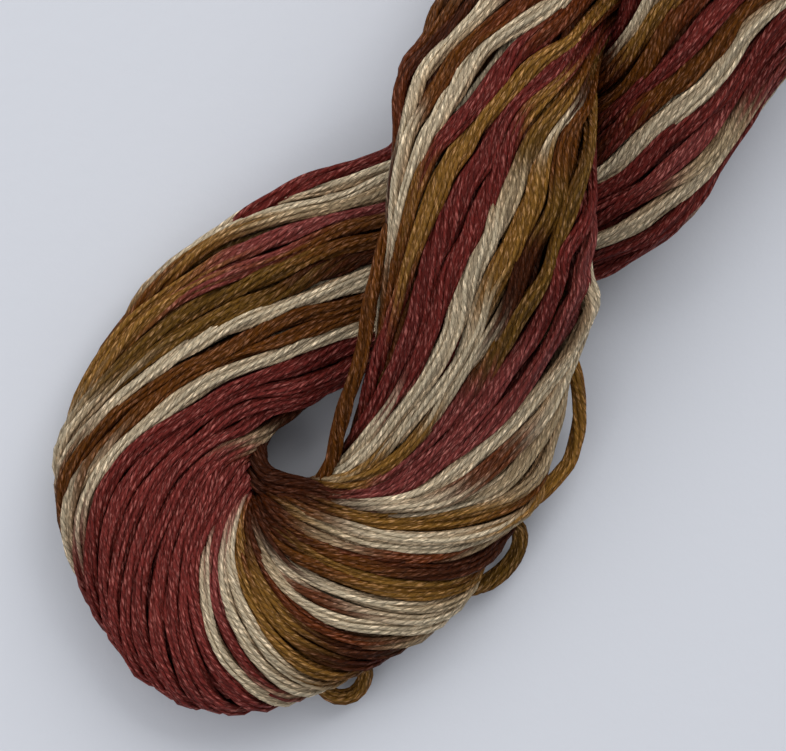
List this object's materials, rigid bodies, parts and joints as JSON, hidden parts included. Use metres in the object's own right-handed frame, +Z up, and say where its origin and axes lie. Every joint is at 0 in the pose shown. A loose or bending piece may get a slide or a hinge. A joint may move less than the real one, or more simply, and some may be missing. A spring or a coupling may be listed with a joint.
{
  "type": "skein of embroidery floss",
  "caption": "Skein of stranded cotton embroidery floss in changing earth shades, a bundle twisted, folded and wound on itself, with an open loop at one end.",
  "frame": {"origin": "centre of the skein's outline seen from above, on the surface that it lies on", "axes": "+X runs along the skein from its open loop to its far ends, +Z up; leg A leaves the loop on the +Y side, leg B on the -Y side and crosses over leg A first"},
  "size_m": [0.1182, 0.0302, 0.0143],
  "materials": {
    "floss": "mercerised cotton with a soft sheen, dyed in changing shades of dusty burgundy, golden brown and cream"
  },
  "bodies": {
    "root": {"skein": "floss"}
  },
  "joints": []
}
